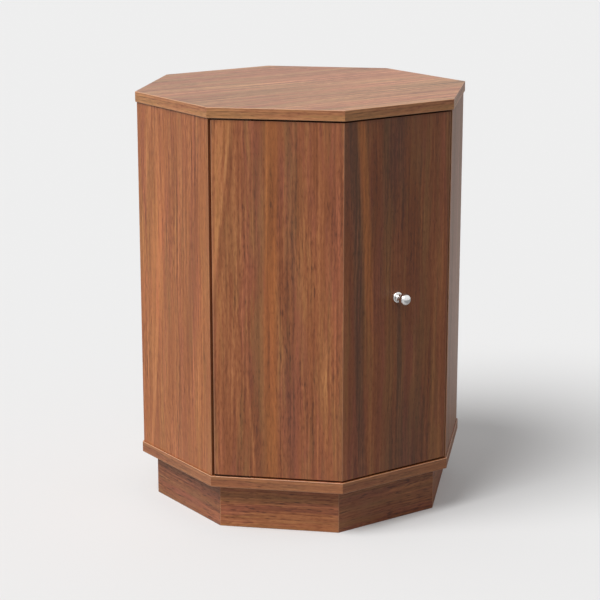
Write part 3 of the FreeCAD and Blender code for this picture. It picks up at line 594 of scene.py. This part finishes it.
# %% The tone of walnut
MIDDLE = 0.5
SWAYS = [
    # cells a metre along and across the grain, and how far the grain moves in metres
    ((5.0, 12.0), 12 * MM),
    ((34.0, 70.0), 2 * MM),
]
PATCH_CELLS = (6.0, 26.0)
PATCH_SPAN = (0.32, 0.68)
PATCH_FIBRE = (0.4, 1.6)
LAYER_ROUGHNESS = 0.55
GRAIN_LAYERS = [
    # cells a metre along and across the grain, detail, weight, whether it belongs to the broad bands
    ((0.9, 21.0), 2.0, 0.50, True),
    ((2.6, 90.0), 3.0, 0.60, True),
    ((7.0, 200.0), 2.0, 0.58, False),
    ((3.0, 310.0), 1.0, 0.60, False),
    ((70.0, 340.0), 1.0, 0.40, False),
    ((90.0, 900.0), 1.0, 0.10, False),
]
BREAK_CELLS = (7.0, 160.0)
BREAK_GAIN, BREAK_LEAST = 0.30, 0.09
SPECKLES = [
    # cells a metre along and across the grain, detail, and the span of noise that fades in: flecks, pores
    ((60.0, 380.0), 1.0, (0.56, 0.74)),
    ((140.0, 950.0), 0.0, (0.58, 0.74)),
]
PORE_SHADE = 0.12


def bent_grain(tree, grain):
    """The place on the sheet, moved across the grain by a slow sway and a finer ripple."""
    moves = []
    for cells, reach in SWAYS:
        moves.append(maths(tree, "MULTIPLY_ADD", stretched(tree, grain, cells), reach, -reach / 2))
    sway = add(tree, "ShaderNodeCombineXYZ", {"Y": maths(tree, "ADD", *moves)}).outputs[0]
    return vectors(tree, "ADD", grain, sway)


def walnut_tone(tree, amounts, bent):
    """Tone = one half + lightness + weighted noise layers + the board's own bands, with its painted light
    and shade, broken up by noise, - flecks - pores. The flecks and pores come back as well, for the bump."""
    patchy = remap(tree, stretched(tree, amounts["Grain"], PATCH_CELLS), PATCH_SPAN, PATCH_FIBRE)
    fibre = maths(tree, "MULTIPLY", amounts["Fibre"], patchy)
    tone = maths(tree, "ADD", amounts["Lightness"], MIDDLE)
    for cells, detail, weight, broad in GRAIN_LAYERS:
        noise = maths(tree, "SUBTRACT", stretched(tree, bent, cells, detail, LAYER_ROUGHNESS), MIDDLE)
        share = maths(tree, "MULTIPLY", amounts["Bands"] if broad else fibre, weight)
        tone = maths(tree, "MULTIPLY_ADD", noise, share, tone)
    broken = maths(tree, "MULTIPLY_ADD", stretched(tree, bent, BREAK_CELLS), BREAK_GAIN, BREAK_LEAST)
    tone = maths(tree, "MULTIPLY_ADD", amounts["Figure"], broken, tone)
    speckles = []
    for cells, detail, span in SPECKLES:
        noise = stretched(tree, bent, cells, detail)
        speckles.append(remap(tree, noise, span, interpolation_type="SMOOTHSTEP"))
    flecks, pores = speckles
    darker = maths(tree, "MULTIPLY", flecks, maths(tree, "MULTIPLY", fibre, amounts["Flecks"]))
    tone = maths(tree, "SUBTRACT", tone, darker)
    return maths(tree, "MULTIPLY_ADD", pores, -PORE_SHADE, tone), flecks, pores


print("layers of grain", len(GRAIN_LAYERS))

# %% [markdown]
# Colours are written as they look on a screen and turned into the linear values that the renderer works
# with. Effects that several materials share go into a group, which is drawn once and used many times.

# %% Helpers for colours and groups


def paint(red, green, blue):
    """A screen colour, 0 to 255, as linear light."""
    share = np.array([red, green, blue]) / 255
    linear = np.where(share <= 0.04045, share / 12.92, ((share + 0.055) / 1.055) ** 2.4)
    return (*linear.tolist(), 1.0)


def blend(tree, share, first, second, **settings):
    """A colour between two, by a share."""
    inputs = {0: share, 6: first, 7: second}
    return add(tree, "ShaderNodeMix", inputs, data_type="RGBA", **settings).outputs[2]


def ramp(tree, value, stops):
    """A colour ramp through (place, colour) stops."""
    node = add(tree, "ShaderNodeValToRGB", {"Fac": value})
    elements = node.color_ramp.elements
    while len(elements) < len(stops):
        elements.new(1.0)
    for element, (place, colour) in zip(elements, stops):
        element.position, element.color = place, colour
    return node.outputs["Color"]


def new_group(name, inputs, outputs):
    """A shader node group with named sockets, and its two end nodes. An input without a value is a place."""
    tree = bpy.data.node_groups.new(name, "ShaderNodeTree")
    for socket, value in inputs.items():
        kind = "NodeSocketVector" if value is None else "NodeSocketFloat"
        made = tree.interface.new_socket(socket, in_out="INPUT", socket_type=kind)
        if value is not None:
            made.default_value = value
    for socket in outputs:
        kind = "NodeSocketColor" if socket == "Color" else "NodeSocketFloat"
        tree.interface.new_socket(socket, in_out="OUTPUT", socket_type=kind)
    return tree, tree.nodes.new("NodeGroupInput"), tree.nodes.new("NodeGroupOutput")


print("a middle grey as linear light", np.round(paint(128, 128, 128), 3))

# %% [markdown]
# A tone alone would be one brown, lighter and darker. Real walnut also changes hue from streak to streak,
# so slow noise pulls the brown towards rose and olive, and a board's own warmth pulls it towards orange or
# grey. One group holds tone, colour and pores, and any board can use it that knows its place on the sheet.

# %% The walnut group
# on the uprights Figure also carries painted light and shade; paler edges are painted highlight and wear
WALNUT_AMOUNTS = {
    "Grain": None, "Figure": 0.0, "Warmth": 0.0, "Lightness": 0.0, "Bands": 1.0, "Fibre": 1.0,
    "Rose": 0.68, "Olive": 0.6, "Flecks": 0.15, "Worn": 0.0,
}
WALNUT_TONES = [
    (0.05, paint(98, 50, 28)),
    (0.28, paint(136, 75, 41)),
    (0.50, paint(164, 97, 58)),
    (0.72, paint(189, 121, 75)),
    (0.95, paint(210, 146, 96)),
]
HUE_CASTS = [
    # the amount that rules it, the tone, an offset that keeps the two noises apart,
    # cells a metre along and across the grain
    ("Rose", paint(162, 90, 66), 0.0, (3.5, 32.0)),
    ("Olive", paint(150, 104, 60), 3.1, (3.5, 48.0)),
]
HUE_DETAIL, HUE_ROUGHNESS = 4.0, 0.7
HUE_SPAN = (0.46, 0.62)
ORANGE_BROWN = paint(178, 104, 52)
GREY_BROWN = paint(132, 92, 66)
# the pale colour of the eased edges: a painted highlight with some rubbed wear
WORN_TONE = paint(224, 174, 138)
WORN_MOST = 0.65
SATIN_ROUGHNESS, TONE_GLOSS = 0.50, -0.12
PORE_DROP, FLECK_DROP = -0.7, -0.3


def walnut_colour(tree, amounts, tone, bent):
    """The tone run through a ramp of browns, its hue pulled by noise and by warmth, and paler at the eased
    edges, a painted highlight with some wear.
    """
    colour = ramp(tree, tone, WALNUT_TONES)
    for amount, cast, offset, cells in HUE_CASTS:
        apart = vectors(tree, "ADD", bent, (offset, offset, 0))
        noise = stretched(tree, apart, cells, HUE_DETAIL, HUE_ROUGHNESS)
        pull = remap(tree, noise, HUE_SPAN, (0.0, amounts[amount]))
        colour = blend(tree, pull, colour, cast, blend_type="COLOR")
    for sign, cast in ((1.0, ORANGE_BROWN), (-1.0, GREY_BROWN)):
        pull = remap(tree, amounts["Warmth"], (0.0, sign))
        colour = blend(tree, pull, colour, cast, blend_type="COLOR")
    return blend(tree, maths(tree, "MULTIPLY", amounts["Worn"], WORN_MOST), colour, WORN_TONE)


def walnut_group():
    """Colour, roughness that falls as the tone rises, and the depth of flecks and pores."""
    tree, start, end = new_group("walnut_figure", WALNUT_AMOUNTS, ("Color", "Roughness", "Height"))
    amounts = start.outputs
    bent = bent_grain(tree, amounts["Grain"])
    tone, flecks, pores = walnut_tone(tree, amounts, bent)
    height = maths(tree, "MULTIPLY_ADD", pores, PORE_DROP, maths(tree, "MULTIPLY", flecks, FLECK_DROP))
    tree.links.new(walnut_colour(tree, amounts, tone, bent), end.inputs["Color"])
    tree.links.new(maths(tree, "MULTIPLY_ADD", tone, TONE_GLOSS, SATIN_ROUGHNESS), end.inputs["Roughness"])
    tree.links.new(height, end.inputs["Height"])
    return tree


WALNUT = walnut_group()
print("walnut group nodes", len(WALNUT.nodes))

# %% [markdown]
# Veneer is sealed with a satin lacquer that lies in the pores, so it has a soft shine and a very shallow
# bump. The upright boards read their place on the sheet from the UV map. Three sheets are used on them: one
# for the walls and the door's front, a calmer one for the door's side board, and one with shorter, closer
# grain for the plinth. They are one group with other amounts, so they stay alike.

# %% Walnut on the uprights
PORE_DEPTH = 0.12 * MM
PORE_STRENGTH = 0.5
VENEER_SPECULAR = 0.54
RECORDED = ("Figure", "Warmth", "Worn")


def new_material(name):
    """A material with its node graph and the one shader in it."""
    material = bpy.data.materials.new(name)
    material.use_nodes = True
    tree = material.node_tree
    return material, tree, tree.nodes["Principled BSDF"]


def wire(tree, shader, colour, height, depth, strength):
    """Gives a shader a colour, and a bump that is this deep where the height runs from nothing to one."""
    bump = add(tree, "ShaderNodeBump", {"Height": height, "Distance": depth, "Strength": strength})
    tree.links.new(colour, shader.inputs["Base Color"])
    tree.links.new(bump.outputs["Normal"], shader.inputs["Normal"])


def dress(piece, material):
    """Gives a piece, or a node of the frame, one material in every slot."""
    if not piece.material_slots:
        piece.data.materials.append(material)
    for slot in piece.material_slots:
        slot.material = material


def veneer(name, grain_of, **amounts):
    """A veneer material: the group's colour, roughness and pores on a satin surface."""
    material, tree, shader = new_material(name)
    wood = add(tree, "ShaderNodeGroup", {**grain_of(tree), **amounts}, node_tree=WALNUT).outputs
    wire(tree, shader, wood["Color"], wood["Height"], PORE_DEPTH, PORE_STRENGTH)
    tree.links.new(wood["Roughness"], shader.inputs["Roughness"])
    shader.inputs["Specular IOR Level"].default_value = VENEER_SPECULAR
    return material


def grain_from_board(tree):
    """Place, bands, painted light and shade, and the edges' painted highlight with some wear, as the board's
    grid recorded them.
    """
    looks = {"Grain": add(tree, "ShaderNodeUVMap", uv_map="grain").outputs["UV"]}
    for name in RECORDED:
        looks[name] = add(tree, "ShaderNodeAttribute", attribute_name=name.lower()).outputs["Fac"]
    return looks


UPRIGHT = veneer("walnut_upright", grain_from_board, Bands=0.25)
CALM = veneer("walnut_calm", grain_from_board, Bands=0.22, Fibre=0.68)
SKIRT = veneer(
    "walnut_plinth", grain_from_board,
    Bands=0.08, Fibre=1.2, Flecks=0.35, Rose=0.7, Lightness=0.05,
)
for node, piece in boards.items():
    dress(piece, SKIRT if node in PLINTH else UPRIGHT)
dress(boards["door_side_panel"], CALM)
print("veneered uprights", len(boards))

# %% [markdown]
# The top and the deck keep their solids, which have the recesses for the hinge plates, so they read object
# coordinates instead of a UV map. On the flat faces the grain runs parallel to the door's side board. On
# the edges a strip of veneer is ironed on, and its grain runs along the edge, which is found from the way
# that the surface faces.

# %% Walnut on the top and the deck
LEVEL_FACING = 0.75
# painted highlight with some wear on the rounded arrises of the top and the deck
EDGE_WEAR = 6.0


def between(tree, share, first, second):
    """A value between two, by a share."""
    return add(tree, "ShaderNodeMix", {0: share, 2: first, 3: second}).outputs[0]


def grain_from_facing(tree, lights, warmths):
    """On level faces the object's own place, turned by an eighth. On edges the distance along them, which
    is the place times the level direction square to the facing, and the height. The rounded arrises, neither
    level nor upright, are painted paler: a painted highlight with some wear. The edge strip is another
    sheet, so lights and warmths have the edge's value first."""
    source = add(tree, "ShaderNodeTexCoord").outputs
    spot, facing = source["Object"], source["Normal"]
    turned = add(tree, "ShaderNodeMapping", {"Vector": spot, "Rotation": (0, 0, -TURN)}).outputs[0]
    level = vectors(tree, "NORMALIZE", vectors(tree, "CROSS_PRODUCT", UP, facing))
    along = vectors(tree, "DOT_PRODUCT", spot, level)
    height = add(tree, "ShaderNodeSeparateXYZ", {0: spot}).outputs["Z"]
    strip = add(tree, "ShaderNodeCombineXYZ", {"X": along, "Y": height}).outputs[0]
    upward = maths(tree, "ABSOLUTE", add(tree, "ShaderNodeSeparateXYZ", {0: facing}).outputs["Z"])
    flat = maths(tree, "GREATER_THAN", upward, LEVEL_FACING)
    rounded = maths(tree, "MULTIPLY", upward, maths(tree, "SUBTRACT", 1.0, upward))
    return {
        "Grain": add(tree, "ShaderNodeMix", {0: flat, 4: strip, 5: turned}, data_type="VECTOR").outputs[1],
        "Lightness": between(tree, flat, *lights),
        "Warmth": between(tree, flat, *warmths),
        "Worn": maths(tree, "MINIMUM", maths(tree, "MULTIPLY", rounded, EDGE_WEAR), 1.0),
    }


def top_grain(tree):
    """The top's edge is a lighter strip, its face is a little darker as painted shade against the stronger
    light on a level face, and both are greyish.
    """
    return grain_from_facing(tree, lights=(0.17, -0.105), warmths=(-0.35, -0.30))


def deck_grain(tree):
    """The deck's edge is a slightly darker and greyer strip."""
    return grain_from_facing(tree, lights=(-0.05, 0.0), warmths=(-0.25, 0.0))


TOP = veneer("walnut_top", top_grain, Bands=0.7, Rose=0.15, Olive=2.2)
DECK = veneer("walnut_deck", deck_grain, Bands=0.35)
dress(frame["nodes"]["top_panel"], TOP)
dress(frame["nodes"]["deck_panel"], DECK)
print("materials from the walnut group", WALNUT.users)

# %% [markdown]
# Metal, plastic and the hidden fittings. Polished chrome is almost a mirror, with a faint haze from
# polishing. The screws are zinc plated, the cams are cast zinc and the hinges are bronzed, so they are
# duller and uneven, and the catch is moulded plastic. A plain colour would look like none of them, so all
# share one group of fine unevenness, used for colour, roughness and bump.

# %% The unevenness group
UNEVEN_AMOUNTS = {"Scale": 400.0, "Low": 0.2, "High": 0.4}
UNEVEN_SPAN = (0.35, 0.65)
COARSE_DETAIL, FINE_DETAIL = 3.0, 2.0
FINER = 6.0


def uneven_group():
    """Two sizes of noise on object coordinates. The coarse one is a mask and rules the roughness, and the
    fine one is a height."""
    tree, start, end = new_group("uneven_surface", UNEVEN_AMOUNTS, ("Roughness", "Height", "Mask"))
    scale, low, high = (start.outputs[name] for name in UNEVEN_AMOUNTS)
    spot = add(tree, "ShaderNodeTexCoord").outputs["Object"]
    noises = []
    for cells, detail in ((scale, COARSE_DETAIL), (maths(tree, "MULTIPLY", scale, FINER), FINE_DETAIL)):
        noise = add(tree, "ShaderNodeTexNoise", {"Vector": spot, "Scale": cells, "Detail": detail})
        noises.append(noise.outputs["Fac"])
    coarse, fine = noises
    tree.links.new(remap(tree, coarse, UNEVEN_SPAN, (low, high)), end.inputs["Roughness"])
    tree.links.new(fine, end.inputs["Height"])
    tree.links.new(coarse, end.inputs["Mask"])
    return tree


UNEVEN = uneven_group()
print("uneven group nodes", len(UNEVEN.nodes))

# %% [markdown]
# A finish is then only a row of amounts. The chrome has no bump, because polishing takes it off.

# %% Metal and plastic
PLAIN_STRENGTH = 0.3
PLAIN_FINISHES = {
    # dark and light tone, least and most roughness, cells a metre, metallic share, depth of the bump in mm
    "chrome": ((222, 222, 222), (238, 237, 236), (0.13, 0.19), 250.0, 1.0, 0.0),
    "zinc_plate": ((160, 164, 170), (196, 199, 203), (0.24, 0.42), 500.0, 1.0, 0.02),
    "bronzed_steel": ((52, 36, 28), (74, 52, 40), (0.34, 0.50), 500.0, 1.0, 0.02),
    "cast_zinc": ((136, 138, 142), (168, 170, 174), (0.36, 0.52), 700.0, 1.0, 0.02),
    "brown_plastic": ((70, 48, 38), (84, 58, 46), (0.40, 0.52), 900.0, 0.0, 0.02),
    "brown_nylon": ((58, 40, 32), (72, 50, 40), (0.42, 0.55), 600.0, 0.0, 0.02),
    "ferrite": ((48, 48, 50), (66, 66, 68), (0.55, 0.70), 800.0, 0.0, 0.02),
}


def plain_finish(name, dark, light, roughness, scale, metallic, depth):
    """A material whose colour wanders between two tones, and its roughness between two values."""
    material, tree, shader = new_material(name)
    amounts = {"Scale": scale, "Low": roughness[0], "High": roughness[1]}
    surface = add(tree, "ShaderNodeGroup", amounts, node_tree=UNEVEN).outputs
    colour = ramp(tree, surface["Mask"], list(zip(UNEVEN_SPAN, (paint(*dark), paint(*light)))))
    wire(tree, shader, colour, surface["Height"], depth * MM, PLAIN_STRENGTH)
    tree.links.new(surface["Roughness"], shader.inputs["Roughness"])
    shader.inputs["Metallic"].default_value = metallic
    return material


finishes = {name: plain_finish(name, *row) for name, row in PLAIN_FINISHES.items()}
print("finishes", list(finishes))

# %% [markdown]
# The pegs and the plinth's corner blocks are raw beech, and the tongues in the mitres are plywood. Nobody
# sees much of them, so one stretched noise is enough, as long as it runs the right way. Then every fitting
# gets its finish.

# %% Raw wood, and a finish for every fitting
RAW_SPAN = (0.3, 0.7)
RAW_DETAIL = 4.0
RAW_DEPTH = 0.1 * MM
RAW_STRENGTH = 0.4
RAW_ROUGHNESS = 0.62
RAW_WOODS = {
    # dark and light tone, cells a metre along each axis
    "beech": ((188, 150, 112), (214, 180, 142), (400, 400, 25)),
    "plywood": ((176, 138, 100), (208, 172, 130), (500, 500, 30)),
}
FITTINGS = {
    "zinc_plate": [
        "catch_screws", "catch_pole_plates", "strike_plate", "strike_screw", "knob_screw",
        "plinth_screws", "top_cam_bolts", "bottom_cam_bolts",
    ],
    "bronzed_steel": [
        "top_hinge_plate", "top_hinge_leaf", "top_hinge_pin", "hinge_plate_screws",
        "bottom_hinge_plate", "bottom_hinge_leaf", "bottom_hinge_pin", "hinge_leaf_screws",
    ],
    "cast_zinc": ["top_cam_locks", "bottom_cam_locks"],
    "brown_plastic": ["catch_housing"],
    "ferrite": ["catch_magnet"],
    "beech": ["top_dowels", "bottom_dowels", "plinth_corner_blocks"],
    "plywood": ["corner_splines", "door_spline"],
}


def raw_wood(name, dark, light, cells):
    """Unfinished pale wood: noise with so many cells a metre along each axis, fewest along the grain."""
    material, tree, shader = new_material(name)
    spot = add(tree, "ShaderNodeTexCoord").outputs["Object"]
    scaled = add(tree, "ShaderNodeMapping", {"Vector": spot, "Scale": cells}).outputs[0]
    inputs = {"Vector": scaled, "Scale": 1.0, "Detail": RAW_DETAIL}
    noise = add(tree, "ShaderNodeTexNoise", inputs).outputs["Fac"]
    colour = ramp(tree, noise, list(zip(RAW_SPAN, (paint(*dark), paint(*light)))))
    wire(tree, shader, colour, noise, RAW_DEPTH, RAW_STRENGTH)
    shader.inputs["Roughness"].default_value = RAW_ROUGHNESS
    return material


for name, row in RAW_WOODS.items():
    finishes[name] = raw_wood(name, *row)
for finish, nodes in FITTINGS.items():
    for node in nodes:
        dress(frame["nodes"][node], finishes[finish])
dress(knob, finishes["chrome"])
for piece in washers:
    dress(piece, finishes["brown_nylon"])
print("fittings dressed", sum(len(nodes) for nodes in FITTINGS.values()))

# %% [markdown]
# The picture is a studio one, on a pale floor that runs out of sight. So bright a floor would throw much
# light back up at the table, so it shows its pale colour to the camera and to shiny surfaces only. Mirrors
# also find it darker to the left and right, as a studio's walls are.

# %% The floor
FLOOR_REACH = 30.0
FLOOR_PALE = (0.62, 0.62, 0.62, 1.0)
FLOOR_BOUNCE = (0.20, 0.195, 0.19, 1.0)
FLOOR_GLOW = 0.13
LEFT_FLOOR = (0.42, 0.42, 0.42, 1.0)
DIM_FLOOR = (0.28, 0.28, 0.28, 1.0)
MIRRORED_FLOOR = [(0.1, LEFT_FLOOR), (0.45, FLOOR_PALE), (0.65, FLOOR_PALE), (0.95, DIM_FLOOR)]
DIM_SIDE = (0.95, -0.31, 0.0)
DIM_REACH = 0.6
BLACK, WHITE = (0, 0, 0, 1), (1, 1, 1, 1)


def towards_dim_side(tree, way, span, ends=(0.0, 1.0)):
    """Runs between two ends as a direction or a place lies further towards the dim side."""
    return remap(tree, vectors(tree, "DOT_PRODUCT", way, DIM_SIDE), span, ends)


def kinds_of_ray(tree):
    """Whether a ray comes from the camera, from a shiny surface, or from either."""
    path = add(tree, "ShaderNodeLightPath").outputs
    shiny = maths(tree, "MAXIMUM", path["Is Glossy Ray"], path["Is Transmission Ray"])
    return path["Is Camera Ray"], shiny, maths(tree, "MAXIMUM", path["Is Camera Ray"], shiny)


def studio_floor():
    """A level sheet. The camera and mirrors see it pale, and rays that only carry light find it darker."""
    corners = FLOOR_REACH * np.array([(-1, -1, 0), (1, -1, 0), (1, 1, 0), (-1, 1, 0)], float)
    mesh = bpy.data.meshes.new("studio_floor")
    mesh.from_pydata(corners.tolist(), [], [(0, 1, 2, 3)])
    floor = bpy.data.objects.new("studio_floor", mesh)
    bpy.context.scene.collection.objects.link(floor)
    material, tree, shader = new_material("studio_floor")
    camera_ray, shiny, seen = kinds_of_ray(tree)
    place = add(tree, "ShaderNodeTexCoord").outputs["Object"]
    mirrored = ramp(tree, towards_dim_side(tree, place, (-DIM_REACH, DIM_REACH)), MIRRORED_FLOOR)
    shade = blend(tree, shiny, FLOOR_PALE, mirrored)
    tree.links.new(blend(tree, seen, FLOOR_BOUNCE, shade), shader.inputs["Base Color"])
    tree.links.new(blend(tree, camera_ray, BLACK, WHITE), shader.inputs["Emission Color"])
    shader.inputs["Emission Strength"].default_value = FLOOR_GLOW
    shader.inputs["Roughness"].default_value = 1.0
    shader.inputs["Specular IOR Level"].default_value = 0.0
    dress(floor, material)


studio_floor()
print("floor reaches", FLOOR_REACH, "m each way")

# %% [markdown]
# A weak light comes from all round, a little stronger overhead and weaker from one side. The camera sees
# that world as a pale backdrop. Mirrors see it pale near the horizon and white above, as under a studio's
# lamps, which gives the knob its bright cap.

# %% The world
SEEN_WHITE = paint(238, 238, 238)
HORIZON_LEVEL, OVERHEAD_LEVEL = 0.30, 0.38
BRIGHT_SHARE, DIM_SHARE = 1.5, 0.6
MIRRORED_SKY = 1.17
SKY_SPAN = (0.30, 0.55)


def studio_world():
    """Strength = a level that rises with height times a share that falls towards the dim side."""
    world = bpy.data.worlds.new("studio")
    world.use_nodes = True
    tree = world.node_tree
    tree.nodes.clear()
    way = add(tree, "ShaderNodeTexCoord").outputs["Generated"]
    height = add(tree, "ShaderNodeSeparateXYZ", {0: way}).outputs["Z"]
    level = remap(tree, height, (0.0, 1.0), (HORIZON_LEVEL, OVERHEAD_LEVEL))
    side = towards_dim_side(tree, way, (-1.0, 1.0), (BRIGHT_SHARE, DIM_SHARE))
    light = maths(tree, "MULTIPLY", level, side)
    camera_ray, _, seen = kinds_of_ray(tree)
    mirrored = remap(tree, height, SKY_SPAN, (1.0, MIRRORED_SKY))
    strength = between(tree, camera_ray, mirrored, 1.0)
    lit = add(tree, "ShaderNodeBackground", {"Color": WHITE, "Strength": light})
    shown = add(tree, "ShaderNodeBackground", {"Color": SEEN_WHITE, "Strength": strength})
    mixed = add(tree, "ShaderNodeMixShader", {0: seen, 1: lit.outputs[0], 2: shown.outputs[0]})
    add(tree, "ShaderNodeOutputWorld", {"Surface": mixed.outputs[0]})
    bpy.context.scene.world = world


studio_world()
print("light at the horizon", HORIZON_LEVEL, "and overhead", OVERHEAD_LEVEL)

# %% [markdown]
# One large soft light from the left and front does most of the work. An area lamp would fade with
# distance, so a sun lamp with a wide disc is used: it is as soft and has no fall-off.

# %% The key light
KEY_LEVEL = 3.04
KEY_SPREAD = np.radians(36)
KEY_AZIMUTH = np.radians(-42.5)
KEY_ELEVATION = np.radians(56)


def soft_key():
    """A sun lamp turned so that it shines from its azimuth and elevation."""
    lamp = bpy.data.lights.new("soft_key", "SUN")
    lamp.energy, lamp.angle = KEY_LEVEL, KEY_SPREAD
    key = bpy.data.objects.new("soft_key", lamp)
    flat = np.cos(KEY_ELEVATION)
    towards = Vector((flat * np.sin(KEY_AZIMUTH), -flat * np.cos(KEY_AZIMUTH), np.sin(KEY_ELEVATION)))
    key.rotation_euler = towards.to_track_quat("Z", "Y").to_euler()
    bpy.context.scene.collection.objects.link(key)


soft_key()
bpy.context.scene.view_settings.view_transform = "Standard"
print("key light", KEY_LEVEL)

# %% [markdown]
# The camera stands in front and a little to the right of the table, above it, and looks down through a long
# lens. Its place was worked out from the straight edges in the picture.

# %% Camera
CAMERA_DISTANCE = 2.6849
CAMERA_HEIGHT = 0.9735
CAMERA_AZIMUTH = np.radians(9.61)
CAMERA_PITCH = np.radians(14.35)
CAMERA_SLIDE = 0.0049
LENS = 110.6

view = bpy.data.cameras.new("camera")
view.lens = LENS
camera = bpy.data.objects.new("camera", view)
bpy.context.scene.collection.objects.link(camera)
away = np.array([np.sin(CAMERA_AZIMUTH), -np.cos(CAMERA_AZIMUTH)])
aside = np.array([np.cos(CAMERA_AZIMUTH), np.sin(CAMERA_AZIMUTH)])
camera.location = (*(CAMERA_DISTANCE * away - CAMERA_SLIDE * aside), CAMERA_HEIGHT)
camera.rotation_euler = (np.pi / 2 - CAMERA_PITCH, 0, CAMERA_AZIMUTH)
bpy.context.scene.camera = camera
print("camera at", [round(x, 3) for x in camera.location])
